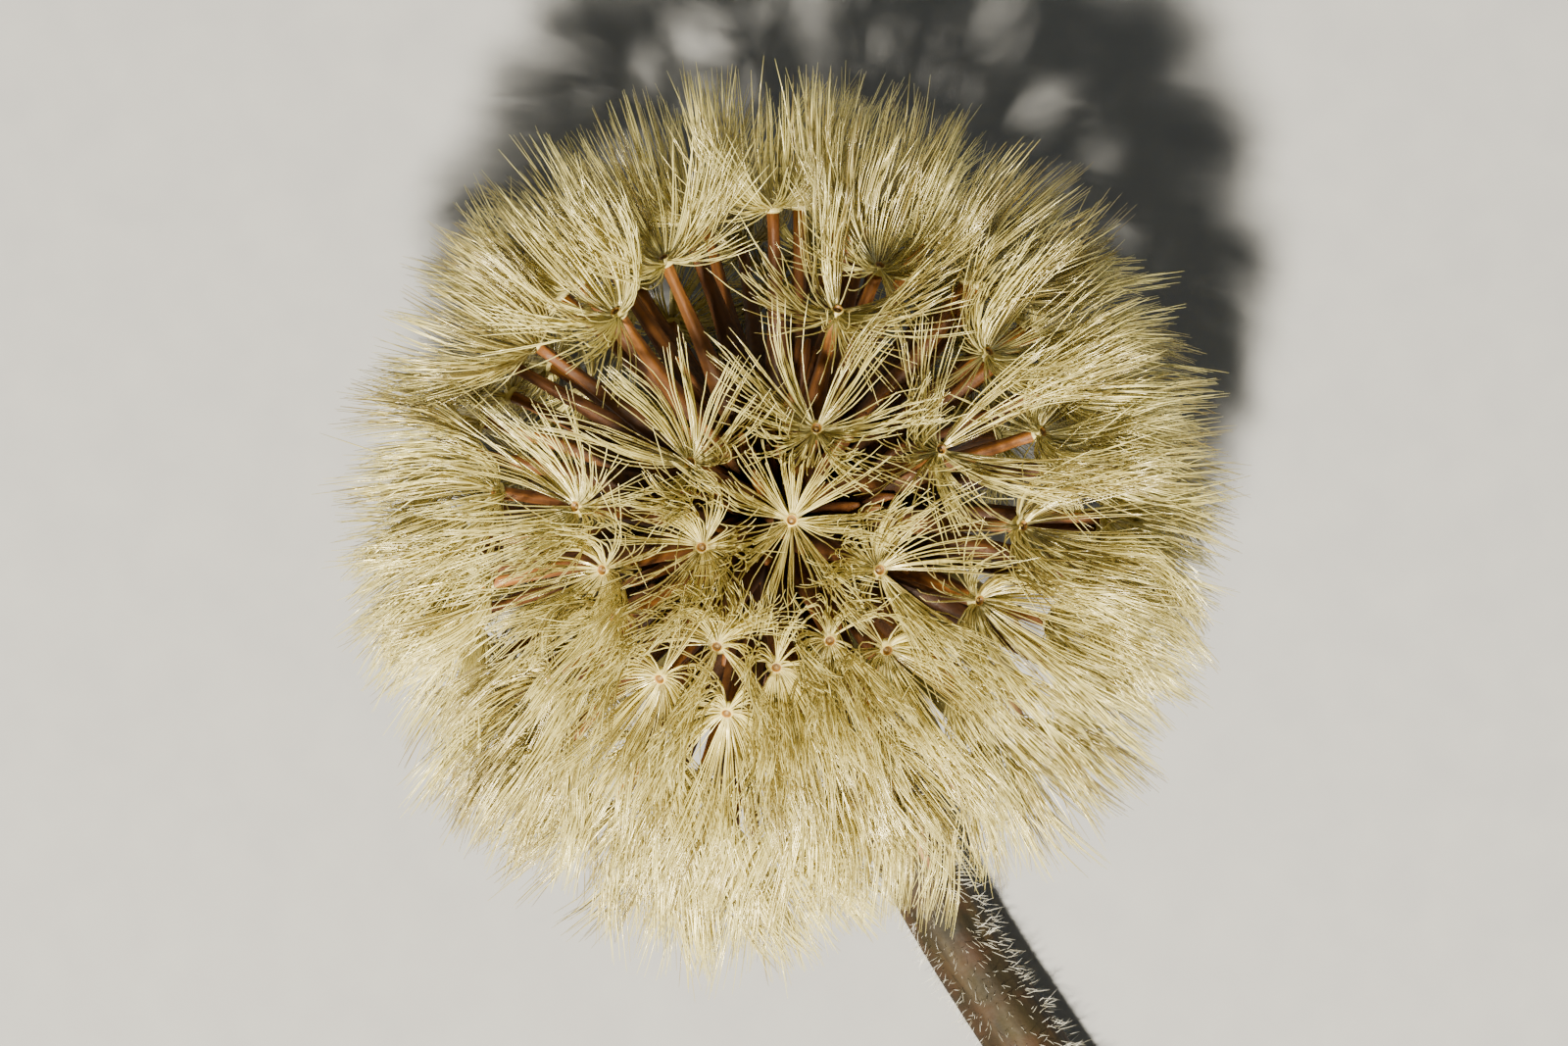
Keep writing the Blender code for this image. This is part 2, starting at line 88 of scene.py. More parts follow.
# The tufts that face the eye, across and up in the picture, in mm from the head's centre.
SEEN_TUFTS = (
    (1.7, 5.3), (8.2, 4.2), (0.4, 0.5), (-4.3, -0.9), (5.0, -2.1), (10.2, -3.7),
    (2.4, -5.8), (5.4, -6.3), (-3.5, -6.1), (-0.4, -7.2), (-6.5, -7.8), (-3.0, -9.6),
    (-8.8, 11.4), (-6.3, 14.2), (-0.6, 17.0), (2.8, 11.5), (10.7, 9.3), (5.0, 13.8),
    (13.5, 5.1), (12.5, 0.2), (-9.5, -2.1), (-10.9, 1.2), (-8.9, -4.6),
    (5.3, -11.2), (0.9, -10.2), (-7.6, -11.2), (-2.9, -17.0), (-13.2, 9.8), (-16.6, 4.0),
    (-15.7, -2.9), (16.2, -1.9), (9.6, -8.2), (-12.2, -7.9), (1.6, -14.0), (-4.4, -13.2),
    (14.1, -4.9), (12.8, -11.0), (6.0, -14.2), (-4.9, 3.5),
)  # fmt: skip

# Bracts and stalk, as the frame has them.
COLLAR_TOP = 3.5 * MM
COLLAR_FOOT = 2.6 * MM
COLLAR_HEIGHT = 2.3 * MM
BRACTS_IN_ROW = 11
BRACT_ROWS = ((14.5, 58, 14), (17.0, 50, 8))  # length in mm, and degrees from the stalk at its ends
BRACT_SUNK = 0.5 * MM  # into the collar
BRACT_WIDTH = 1.7 * MM
BRACT_THICKNESS = 0.62 * MM
BRACT_STEPS = 4
BRACT_CLEAR = 1.1 * MM  # of the stalk
NECK_RADIUS = 2.2 * MM
STALK_END_RADIUS = 2.6 * MM
NECK_BEND = 26 * MM  # radius of the bend above the table
STALK_ON_TABLE = 72 * MM
STALK_STEP = 3.0 * MM
STALK_DRIFT = math.radians(6)  # how far it turns aside along the table
SWELLING = 7.0 * MM  # length of the thicker end under the head

# A bristle, and the lock that it stands in.
BRISTLE_STEPS = (0.5, 0.75, 0.95, 1.1, 1.3, 1.4)  # shares of its length, finest at the root
BRISTLE_RADIUS = 0.045 * MM
BRISTLE_TAPER = (1.2, 0.60, 0.22)  # times the radius, at the root, before the tip and at the tip
BRISTLES_IN_LOCK = 12
STRAYS = 0.12  # of the bristles stand alone, out of any lock
STRAYED = (1, 2.6)  # times their first place in the lock is how far out they stand
LOCK_WIDTH = 1.2  # over its fair share of the ring
LOCK_SPREAD = 15  # degrees that its bristles' lean differs, up or down
GATHERED = ((0.7, 1.1), (0.1, 0.7))  # how far locks draw together, of most and of seen tufts
GATHERS = 0.8  # power of the share of the length, at which they do
ROOT_POLAR = (72, 94)  # degrees from the achene's axis, where a bristle leaves the ring
ROOT_OUT = 0.24 * MM  # from the achene's axis
ROOT_UP = (0.20, 0.44)  # mm over the achene's end
CURL = (1.9, 3.6)  # how soon a lock bends from its root's angle to its own lean
WAVE = 0.12  # how far a lock swings from side to side, in radians
WAVES = (0.6, 1.1)  # swings along it
LOCK_BEND = 0.15  # how far it bends to one side
RIPPLE = 0.06  # how far each bristle swings within it
RIPPLES = 0.85  # swings along a bristle
LEAST_SPREAD = 0.5  # sine of the lean under which a swing grows no wider
LOCK_LENGTH = (0.80, 1.0)  # over the full bristle length
SHORTEST_IN_LOCK = 0.88  # over the lock's own length
SHORTER_AT_EDGE = 0.12  # by this share

# A tuft of them.
BRISTLES = 200  # in each tuft of the upper half
BRISTLES_AT_CROWN = 160  # in each tuft near the apex
BRISTLES_UNDER = 150  # in each tuft of the half that lies on the table
SPARE_BRISTLES = 2.8  # times the number wanted are drawn, since some would hide a ring
OPEN_TUFT = (26, 60)  # least and most degrees that the bristles of a tuft near the apex lean
CLOSED_TUFT = (18, 58)  # of a tuft further out
WIDEST_LEAN = 80
LEAN_VARIES = (0.6, 1.2)  # times a lock's lean
OUTWARD_LEAN = (50, 42)  # on the side away from the apex, of straight and of swept tufts
INWARD_LEAN = 0.6  # times its lean elsewhere, on the side towards the apex
ROOM_REACHED = 0.9  # of a bristle's length, taken as its reach towards a neighbour
ROOM_SINE = 0.9  # the most that this reach gives as the sine of the lean
ROOM_LEAN = 0.8  # times that lean
TURN_VARIES = 0.2  # radians to either side of a lock's place in the spiral
# Tufts, locks and bristles differ in tone at random, and the darker ones also stand as painted shade
# between fans and wisps.
TUFT_PAINTED_SHADE = 0.2  # how much a tuft is darker or paler than most
LOCK_TONE = (0.15, 0.85)  # from dark to pale
BRISTLE_TONE = 0.4  # how much a bristle is darker or paler than its lock
OUTWARD_SHARE = 0.55  # how much denser an outer tuft is on the side away from the apex
SWEPT_FROM = math.radians(28)  # from the apex, where the tufts begin to lean back from it
SWEPT_FULLY = math.radians(66)
SWEEP = math.radians(44)  # how far their bristles lean back there, at the tip
LOWEST_SWEEP = math.radians(54)  # of the tufts next to the stalk
SWEEP_VARIES = (0.5, 1.2)  # times a tuft's sweep
SWEEP_STRAYS = 0.45  # radians to one side
FULL_ROOM = 12 * MM  # a tuft spreads this far towards the side where it has no neighbour
NEIGHBOUR_WIDTH = math.radians(65)  # either side of a neighbour, where it takes room
PRESSED_PILE = 0.5 * MM  # depth of the bristles that lie on the table
PRESSED_OUT = 0.5  # times the depth that they would have gone under it
PIECES_OF_PAPPUS = 6

# The ring at a tuft's foot: rise in mm and scale of each level, then width and rise of each inset.
HUB_CORNERS = 14
HUB_FOOT = 0.34 * MM  # radius
HUB_RADIUS = 0.5 * MM
HUB_LEVELS = ((0.14, 1.65), (0.20, 0.66), (0.12, 0.84))
HUB_INSETS = ((0.05, 0.05), (0.04, -0.05), (0.06, -0.13), (0.05, 0.0), (0.03, 0.07))

# Rings that stay open to the eye.
SEEN_RINGS = 22  # the first of the seen tufts
OPEN_BY = 22  # degrees past the eye's line that their bristles lean on its side
OWN_RING_CLEAR = 0.3 * MM  # of the tuft's own bristles
RING_CLEAR = 1.3 * MM  # of other seen tufts' bristles
WIDE_RING_CLEAR = 1.9 * MM  # of the remaining tufts' bristles
FRONT_TUFTS = (5, 10, 11)  # the seen tufts whose fans lie over all the others
FRONT_CLEAR = 1.6 * MM  # about a spot a little outside their rings, of any other tuft's bristles
FRONT_SHIFT = 1.13  # that spot's distance from the head's middle in the picture, over the ring's
LONE_TUFT = 26  # the one under the others in the picture, which fans out straight

# Fine detail of achenes and bracts. A shape is rows of the share of the length and the width there.
ACHENE_RINGS = 13
ACHENE_CORNERS = 14
ACHENE_RIBS = (5, 0.10)  # how many, and their depth over the radius
ACHENE_RADII = (
    (0, 0.35), (0.12, 0.55), (0.3, 0.74), (0.45, 0.66), (0.62, 0.46), (0.8, 0.36), (0.93, 0.31),
    (1, 0.35),
)  # fmt: skip
ACHENE_BOW = 0.35  # mm, at the most
ACHENE_IN_RING = 0.05 * MM  # how far its end goes into the ring
ACHENE_VARIES = (0.92, 1.06)  # times its radii
INNER_ACHENES = 340  # places for a whole globe of short ones, between those that carry tufts
INNER_ACHENE_RINGS = 8
INNER_ACHENE_CORNERS = 8
INNER_ACHENE_RIBS = (5, 0.12)
INNER_ACHENE_RADII = ((0, 0.34), (0.3, 0.52), (0.6, 0.44), (0.9, 0.26), (1, 0.14))
INNER_ACHENE_TIPS = (7.0, 10.5)  # mm from the head's centre
INNER_ACHENE_VARIES = (0.8, 1.1)
BRACT_RINGS = 17
BRACT_CORNERS = 12
BRACT_RIBS = (6, 0.06)
BRACT_SHAPE = ((0, 0.8), (0.25, 1.0), (0.5, 0.95), (0.75, 0.7), (0.92, 0.3), (1, 0.07))
BRACT_VARIES = (0.85, 1.0)
BRACT_FLATNESS = 0.24  # its thickness over its width

# Fine detail of the stalk.
STALK_RINGS = 130
STALK_CORNERS = 54
STALK_RIBS = (9, 0.018)
STALK_INSIDE = 0.975  # times the frame's radius, so that the ribs stay within it
STALK_HAIRS = 6500
HAIR_LENGTHS = (0.3, 1.1)  # mm
HAIR_RADII = (0.018, 0.013, 0.004)  # mm, at its root, middle and tip
HAIR_LEANS = (-0.3, 0.9)  # along the stalk, over how far it stands out
HAIR_DROOP = 0.22
HAIR_SUNK = 0.05 * MM  # into the skin
HAIR_CLEAR = 0.03 * MM  # of the table

HEAD = Vector((HEAD_X, HEAD_Y, HEAD_HEIGHT))
STALK_WAY = Vector(
    (
        math.sin(APEX_LEAN) * math.cos(APEX_TURN),
        math.sin(APEX_LEAN) * math.sin(APEX_TURN),
        -math.cos(APEX_LEAN),
    )
)
APEX = -STALK_WAY
PICTURE_RIGHT = Vector((math.cos(PICTURE_TURN), -math.sin(PICTURE_TURN), 0))
PICTURE_UP = Vector((math.sin(PICTURE_TURN), math.cos(PICTURE_TURN), 0))
BARE_MIDDLE = (
    PICTURE_RIGHT * math.cos(BARE_PATCH_TURN) * math.cos(BARE_PATCH_RISE)
    + PICTURE_UP * math.sin(BARE_PATCH_TURN) * math.cos(BARE_PATCH_RISE)
    + Vector((0, 0, math.sin(BARE_PATCH_RISE)))
)
GOLDEN = math.pi * (3 - math.sqrt(5))
STEP_ENDS = np.cumsum((0, *BRISTLE_STEPS)) / sum(BRISTLE_STEPS)
STEP_MIDDLES = (STEP_ENDS[1:] + STEP_ENDS[:-1])[None, :] / 2
HALF_LOCK = LOCK_WIDTH * math.pi * BRISTLES_IN_LOCK / BRISTLES  # in radians about the ring


def turned_to(direction):
    """The rotation that takes +Z to the direction."""
    return direction.to_track_quat("Z", "Y").to_matrix().to_4x4()


def lifted(across, up):
    """The direction from the head's centre of a tuft seen at this place in the picture."""
    scale = 1.0
    for _ in range(6):
        x, y = across * MM * scale, up * MM * scale
        height = math.sqrt(max(0.0, TUFT_RADIUS**2 - x * x - y * y))
        scale = 1 - height / EYE_DISTANCE
    return (PICTURE_RIGHT * x + PICTURE_UP * y + Vector((0, 0, height))).normalized()


def globe_directions(count):
    """Directions spread evenly over a globe in a sunflower spiral about the flower's axis."""
    turned = turned_to(APEX).to_3x3()
    for k in range(count):
        polar = math.acos(1 - 2 * (k + 0.5) / count)
        turn = k * GOLDEN
        flat = math.sin(polar)
        yield polar, turned @ Vector(
            (flat * math.cos(turn), flat * math.sin(turn), math.cos(polar))
        )


def tuft_directions(rng):
    """Every tuft's direction: those seen in the picture, then the rule for the rest."""
    kept = [lifted(across, up) for across, up in SEEN_TUFTS]
    for polar, direction in globe_directions(SPREAD_TUFTS):
        shift = Vector([rng.uniform(-1, 1) for _ in range(3)]) * TUFT_JITTER
        moved = (direction * TUFT_RADIUS + shift).normalized()
        if not BARE_APEX < polar < LOWEST_TUFT or moved.angle(BARE_MIDDLE) < BARE_PATCH:
            continue
        seen = moved.z * TUFT_RADIUS > SEEN_HEIGHT
        nearer = min(1.0, polar / CROWN)
        spacing = APEX_SPACING + (TUFT_SPACING - APEX_SPACING) * nearer
        crowded = any((moved - other).length * TUFT_RADIUS < spacing for other in kept)
        if not seen and not crowded:
            kept.append(moved)
    return kept


def mesh_of(bm, name):
    """The finished bmesh as a mesh."""
    mesh = bpy.data.meshes.new(name)
    bm.to_mesh(mesh)
    bm.free()
    return mesh


def extruded(bm, cap, move):
    """Extrudes a cap face by a move. The first cap stays, as the shape's other end."""
    inner = len(bm.faces) > 1
    made = bmesh.ops.extrude_face_region(bm, geom=[cap])["geom"]
    if inner:
        bmesh.ops.delete(bm, geom=[cap], context="FACES_ONLY")
    verts = [item for item in made if isinstance(item, bmesh.types.BMVert)]
    bmesh.ops.translate(bm, verts=verts, vec=move)
    return next(item for item in made if isinstance(item, bmesh.types.BMFace))


def strand_mesh(corners, rings):
    """A closed tube of radius 1 with its rings 1 apart, to be laid along curves."""
    bm = bmesh.new()
    bmesh.ops.create_circle(bm, cap_ends=True, segments=corners, radius=1)
    (cap,) = bm.faces
    for _ in range(rings):
        cap = extruded(bm, cap, (0, 0, 1))
    bmesh.ops.recalc_face_normals(bm, faces=bm.faces)
    return mesh_of(bm, "strand")


def repeated(mesh, count, name):
    """One mesh that holds this many copies of another."""
    bm = bmesh.new()
    for _ in range(count):
        bm.from_mesh(mesh)
    return mesh_of(bm, name)


def unit(vectors):
    """The same directions, each of length 1."""
    return vectors / np.linalg.norm(vectors, axis=-1, keepdims=True)


def read_along(table, shares):
    """Values read from rows of place and value, at each share of the length."""
    return np.interp(shares, *zip(*table, strict=True))


def laid(name, corners, curves, radii, facing, shades, flat=1.0, ribs=(0, 0.0)):
    """One piece made of a strand for each curve.

    curves holds each strand's points, radii the radius at each point, and facing a direction across
    which the strand may be flattened. ribs is how many ridges run along it, and their depth.
    """
    count, points, _ = curves.shape
    strand = strand_mesh(corners, points - 1)
    mesh = repeated(strand, count, name)
    shape = np.empty(len(strand.vertices) * 3)
    strand.vertices.foreach_get("co", shape)
    shape = shape.reshape(-1, 3)
    ring = np.rint(shape[:, 2]).astype(int)
    corner = np.arctan2(shape[:, 1], shape[:, 0])
    tangent = unit(np.gradient(curves, axis=1))
    side = unit(np.cross(facing[:, None, :], tangent))
    front = np.cross(tangent, side)
    ridge = np.cos(ribs[0] * corner)
    reach = radii[:, ring] * (1 + ribs[1] * ridge)
    across = (reach * np.cos(corner))[..., None] * side[:, ring]
    deep = (reach * flat * np.sin(corner))[..., None] * front[:, ring]
    mesh.vertices.foreach_set("co", (curves[:, ring] + across + deep).ravel())
    attribute(mesh, "along", np.tile(ring / (points - 1), count))
    attribute(mesh, "ridge", np.tile(ridge * 0.5 + 0.5, count))
    attribute(mesh, "shade", np.repeat(shades, len(ring)))
    mesh.update()
    mesh.shade_smooth()
    bpy.data.meshes.remove(strand)
    return shown(name, mesh)


def attribute(mesh, name, values):
    """Keeps a value at each point of a mesh, for its material to read."""
    mesh.attributes.new(name, "FLOAT", "POINT").data.foreach_set("value", values)


def shown(name, mesh):
    """A new object in the scene, with this mesh."""
    obj = bpy.data.objects.new(name, mesh)
    bpy.context.scene.collection.objects.link(obj)
    return obj


def dress(obj, finish, slot, *nodes):
    """Gives a piece its material and its place in the frame."""
    obj.data.materials.clear()
    obj.data.materials.append(finish)
    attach(obj, "root")
    if nodes:
        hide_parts(*nodes)
    return obj


# Materials


def new_material(name):
    """A material, its nodes and links, and its shader."""
    made = bpy.data.materials.new(name)
    made.use_nodes = True
    nodes, links = made.node_tree.nodes, made.node_tree.links
    return made, nodes, links, nodes["Principled BSDF"]


def ramp(nodes, links, value, *stops):
    """Colours along a value from 0 to 1."""
    node = nodes.new("ShaderNodeValToRGB")
    elements = node.color_ramp.elements
    while len(elements) < len(stops):
        elements.new(0.5)
    for element, (place, colour) in zip(elements, stops, strict=True):
        element.position = place
        element.color = (*colour, 1)
    links.new(value, node.inputs["Fac"])
    return node.outputs["Color"]


def named_value(nodes, name):
    """A value that the piece's mesh holds at each point."""
    node = nodes.new("ShaderNodeAttribute")
    node.attribute_name = name
    return node.outputs["Fac"]


def noise(nodes, links, scale, detail=3.0, stretch=None):
    """Noise on the object's own coordinates, in features to the metre."""
    coords = nodes.new("ShaderNodeTexCoord").outputs["Object"]
    if stretch:
        mapping = nodes.new("ShaderNodeMapping")
        mapping.inputs["Scale"].default_value = stretch
        links.new(coords, mapping.inputs["Vector"])
        coords = mapping.outputs["Vector"]
    node = nodes.new("ShaderNodeTexNoise")
    node.inputs["Scale"].default_value = scale
    node.inputs["Detail"].default_value = detail
    links.new(coords, node.inputs["Vector"])
    return node.outputs["Fac"]


MIX_SHARE = 0  # the inputs of a Mix node that mixes colours, by number
MIX_ONE = 6
MIX_OTHER = 7
MIX_RESULT = 2  # and its output


def mixed(nodes, links, one, other, share, blend="MIX"):
    """Two colours mixed. The share is a number, and each may be another node's output."""
    node = nodes.new("ShaderNodeMix")
    node.data_type = "RGBA"
    node.blend_type = blend
    for value, socket in ((one, MIX_ONE), (other, MIX_OTHER), (share, MIX_SHARE)):
        if isinstance(value, bpy.types.NodeSocket):
            links.new(value, node.inputs[socket])
        elif socket == MIX_SHARE:
            node.inputs[socket].default_value = value
        else:
            node.inputs[socket].default_value = (*value, 1)
    return node.outputs[MIX_RESULT]


def spread(nodes, links, value, low, high):
    """A value from 0 to 1 spread over another range."""
    node = nodes.new("ShaderNodeMapRange")
    node.inputs["To Min"].default_value = low
    node.inputs["To Max"].default_value = high
    links.new(value, node.inputs["Value"])
    return node.outputs["Result"]


def bumped(nodes, links, shader, height, distance, strength=0.6):
    """Gives the shader a relief of this height, in metres."""
    node = nodes.new("ShaderNodeBump")
    node.inputs["Strength"].default_value = strength
    node.inputs["Distance"].default_value = distance
    links.new(height, node.inputs["Height"])
    links.new(node.outputs["Normal"], shader.inputs["Normal"])


def silk():
    """Pappus: glossy cream bristles that let some light through; darker ones partly painted shade,
    paler roots a painted glow.
    """
    made, nodes, links, shader = new_material("pappus_silk")
    # Paler at the root: the bases' own pale yellow, brightened further into a painted glow of light
    # through them.
    length = ramp(
        nodes, links, named_value(nodes, "along"),
        (0.0, (1.0, 0.93, 0.47)), (0.14, (0.98, 0.90, 0.39)),
        (0.40, (0.93, 0.84, 0.31)), (1.0, (0.91, 0.83, 0.33)),
    )  # fmt: skip
    # Random darker and paler strands; the dark brown end is painted shade between wisps and tufts.
    tint = ramp(
        nodes, links, named_value(nodes, "shade"),
        (0.0, (0.26, 0.21, 0.12)), (0.5, (0.80, 0.77, 0.68)), (1.0, (1.0, 1.0, 1.0)),
    )  # fmt: skip
    fleck = spread(nodes, links, noise(nodes, links, 900, 2), 0.20, 0.38)
    colour = mixed(nodes, links, length, tint, 1.0, "MULTIPLY")
    links.new(colour, shader.inputs["Base Color"])
    links.new(fleck, shader.inputs["Roughness"])
    shader.inputs["Specular IOR Level"].default_value = 1.0
    shader.inputs["IOR"].default_value = 2.1
    shader.inputs["Specular Tint"].default_value = (1.0, 0.90, 0.58, 1)
    bumped(nodes, links, shader, noise(nodes, links, 6000, 2), 0.02 * MM, 0.3)
    glow = nodes.new("ShaderNodeBsdfTranslucent")
    links.new(colour, glow.inputs["Color"])
    blend = nodes.new("ShaderNodeMixShader")
    blend.inputs["Fac"].default_value = 0.18
    links.new(shader.outputs["BSDF"], blend.inputs[1])
    links.new(glow.outputs["BSDF"], blend.inputs[2])
    links.new(blend.outputs["Shader"], nodes["Material Output"].inputs["Surface"])
    return made


def ring_finish():
    """The ring at a tuft's foot: a pale dot, a brown dimple, and a yellow rim."""
    made, nodes, links, shader = new_material("tuft_ring")
    colour = ramp(
        nodes, links, named_value(nodes, "out"),
        (0.0, (0.50, 0.36, 0.12)), (0.14, (0.36, 0.22, 0.05)), (0.20, (0.08, 0.038, 0.006)),
        (0.32, (0.10, 0.045, 0.005)), (0.42, (0.22, 0.090, 0.008)), (0.50, (0.30, 0.14, 0.013)),
        (0.58, (0.64, 0.53, 0.15)), (1.0, (0.78, 0.70, 0.28)),
    )  # fmt: skip
    speck = noise(nodes, links, 4000, 3)
    links.new(
        mixed(nodes, links, colour, (0.34, 0.20, 0.04), spread(nodes, links, speck, 0, 0.2)),
        shader.inputs["Base Color"],
    )
    links.new(spread(nodes, links, speck, 0.35, 0.6), shader.inputs["Roughness"])
    bumped(nodes, links, shader, speck, 0.04 * MM)
    return made


def husk():
    """Achenes: ribbed, dark brown below and orange along the neck; the dark foot is partly painted
    shade.
    """
    made, nodes, links, shader = new_material("achene_husk")
    # Very dark towards the foot: partly the achene's own brown, partly painted shade deep inside the
    # head.
    length = ramp(
        nodes, links, named_value(nodes, "along"),
        (0.0, (0.03, 0.011, 0.002)), (0.35, (0.06, 0.022, 0.003)),
        (0.7, (0.15, 0.050, 0.005)), (1.0, (0.27, 0.097, 0.010)),
    )  # fmt: skip
    groove = ramp(
        nodes, links, named_value(nodes, "ridge"), (0.0, (0.45, 0.40, 0.34)), (0.6, (1, 1, 1))
    )
    colour = mixed(nodes, links, length, groove, 0.8, "MULTIPLY")
    mottle = noise(nodes, links, 1600, 4)
    share = spread(nodes, links, mottle, -0.3, 0.4)
    colour = mixed(nodes, links, colour, (0.34, 0.13, 0.016), share)
    tint = ramp(
        nodes, links, named_value(nodes, "shade"), (0.0, (0.55, 0.48, 0.42)), (1.0, (1, 1, 1))
    )
    colour = mixed(nodes, links, colour, tint, 1.0, "MULTIPLY")
    links.new(colour, shader.inputs["Base Color"])
    links.new(spread(nodes, links, mottle, 0.45, 0.8), shader.inputs["Roughness"])
    bumped(nodes, links, shader, noise(nodes, links, 5000, 3), 0.05 * MM)
    return made


def pith():
    """The receptacle: dry flesh in two browns."""
    made, nodes, links, shader = new_material("receptacle_pith")
    grain = noise(nodes, links, 1800, 5)
    colour = ramp(nodes, links, grain, (0.3, (0.09, 0.04, 0.015)), (0.7, (0.24, 0.12, 0.05)))
    links.new(colour, shader.inputs["Base Color"])
    links.new(spread(nodes, links, grain, 0.6, 0.9), shader.inputs["Roughness"])
    bumped(nodes, links, shader, grain, 0.15 * MM)
    return made


def bract_finish():
    """Bracts: dull green at the foot, yellow along the blade, brown and dry at the tip."""
    made, nodes, links, shader = new_material("bract_paper")
    length = ramp(
        nodes, links, named_value(nodes, "along"),
        (0.0, (0.10, 0.12, 0.035)), (0.35, (0.27, 0.27, 0.08)),
        (0.72, (0.50, 0.42, 0.16)), (0.88, (0.42, 0.22, 0.08)), (1.0, (0.20, 0.09, 0.04)),
    )  # fmt: skip
    rib = ramp(nodes, links, named_value(nodes, "ridge"), (0.0, (0.7, 0.66, 0.5)), (1.0, (1, 1, 1)))
    colour = mixed(nodes, links, length, rib, 0.7, "MULTIPLY")
    blotch = noise(nodes, links, 700, 4)
    share = spread(nodes, links, blotch, -0.4, 0.7)
    colour = mixed(nodes, links, colour, (0.30, 0.16, 0.07), share)
    links.new(colour, shader.inputs["Base Color"])
    links.new(spread(nodes, links, blotch, 0.5, 0.85), shader.inputs["Roughness"])
    bumped(nodes, links, shader, noise(nodes, links, 3000, 4), 0.06 * MM)
    return made


def stalk_skin_with_painted_shade():
    """The stalk's skin: dark olive brown, darkened further by painted shade, redder in blotches,
    with fine lengthwise streaks.
    """
    made, nodes, links, shader = new_material("stalk_skin")
    # Painted shade: these browns are darker than the skin's own, as if the stalk lay in shadow.
    base = ramp(
        nodes, links, noise(nodes, links, 900, 5, (0.12, 1, 1)),
        (0.3, (0.009, 0.007, 0.003)), (0.5, (0.022, 0.015, 0.006)), (0.7, (0.048, 0.033, 0.013)),
    )  # fmt: skip
    groove = ramp(
        nodes, links, named_value(nodes, "ridge"), (0.0, (0.55, 0.6, 0.4)), (1.0, (1, 1, 1))
    )
    colour = mixed(nodes, links, base, groove, 0.8, "MULTIPLY")
    blush = spread(nodes, links, noise(nodes, links, 420, 4), -0.9, 1.1)
    colour = mixed(nodes, links, colour, (0.050, 0.020, 0.008), blush)
    links.new(colour, shader.inputs["Base Color"])
    fine = noise(nodes, links, 2600, 4)
    links.new(spread(nodes, links, fine, 0.55, 0.85), shader.inputs["Roughness"])
    shader.inputs["Specular IOR Level"].default_value = 0.2
    bumped(nodes, links, shader, fine, 0.08 * MM)
    return made


def down_finish():
    """The short pale hairs on the stalk."""
    made, nodes, links, shader = new_material("pale_down")
    tint = ramp(
        nodes, links, named_value(nodes, "shade"),
        (0.0, (0.42, 0.38, 0.26)), (1.0, (0.82, 0.80, 0.70)),
    )  # fmt: skip
    links.new(tint, shader.inputs["Base Color"])
    links.new(
        spread(nodes, links, noise(nodes, links, 2000, 2), 0.4, 0.7), shader.inputs["Roughness"]
    )
    return made


def table_finish():
    """A plain matt table."""
    made, nodes, links, shader = new_material("pale_table")
    grain = noise(nodes, links, 300, 3)
    links.new(
        ramp(nodes, links, grain, (0.3, (0.275, 0.275, 0.275)), (0.7, (0.30, 0.30, 0.296))),
        shader.inputs["Base Color"],
    )
    links.new(spread(nodes, links, grain, 0.7, 0.8), shader.inputs["Roughness"])
    return made


# Tufts


def room_around(direction, directions):
    """A function from a turn about a tuft's axis to the distance of its neighbour that way."""
    turned = turned_to(direction).to_3x3().inverted()
    near = [turned @ (other - direction) * TUFT_RADIUS for other in directions]
    near = [(math.atan2(p.y, p.x), p.length) for p in near if 0 < p.length < FULL_ROOM]

    def room(turn):
        aside = [(abs(math.remainder(turn - at, 2 * math.pi)), far) for at, far in near]
        reach = [far / math.cos(off) for off, far in aside if off < NEIGHBOUR_WIDTH]
        return min([FULL_ROOM, *reach])

    return room


def lock_angles(turn, lean, gathered, rng):
    """Each bristle's turn, angle from the axis and place across the lock, at each step.

    A lock starts wide at the ring, and its bristles draw together towards the tip. Its angle goes
    over from the one at the root to its own lean.
    """
    many = (BRISTLES_IN_LOCK, 1)
    breadth = 1 - rng.uniform(*gathered) * STEP_MIDDLES**GATHERS
    breadth = np.where(rng.random(many) < STRAYS, rng.uniform(*STRAYED, many), breadth)
    across = rng.uniform(-HALF_LOCK, HALF_LOCK, many) * breadth
    off_lean = rng.uniform(-LOCK_SPREAD, LOCK_SPREAD, many) * breadth
    power = rng.uniform(*CURL)
    first = rng.uniform(*ROOT_POLAR, many)
    last = lean - (first - lean) / power
    polars = np.radians(last + (first - last) * (1 - STEP_MIDDLES) ** power + off_lean)
    wave = rng.uniform(-WAVE, WAVE) * np.sin(2 * math.pi * STEP_MIDDLES * rng.uniform(*WAVES))
    wave = wave + rng.normal(0, LOCK_BEND) * STEP_MIDDLES**2
    ripple = rng.uniform(-RIPPLE, RIPPLE, many) * np.sin(
        math.pi * (STEP_MIDDLES * 2 * RIPPLES + rng.uniform(0, 2, many))
    )
    swing = (wave + ripple) / np.maximum(np.sin(polars), LEAST_SPREAD)
    return turn + across + swing, polars, across


def swept_ways(turns, polars, outward_turn, sweep):
    """The way of each step, about the achene's axis +Z, swept outwards more towards the tip."""
    off = turns - outward_turn
    outward, aside, up = np.sin(polars) * np.cos(off), np.sin(polars) * np.sin(off), np.cos(polars)
    back = sweep * np.sqrt(STEP_MIDDLES)
    outward, up = (
        outward * np.cos(back) + up * np.sin(back), up * np.cos(back) - outward * np.sin(back)
    )  # fmt: skip
    x = outward * math.cos(outward_turn) - aside * math.sin(outward_turn)
    y = outward * math.sin(outward_turn) + aside * math.cos(outward_turn)
    return np.stack((x, y, up), -1)


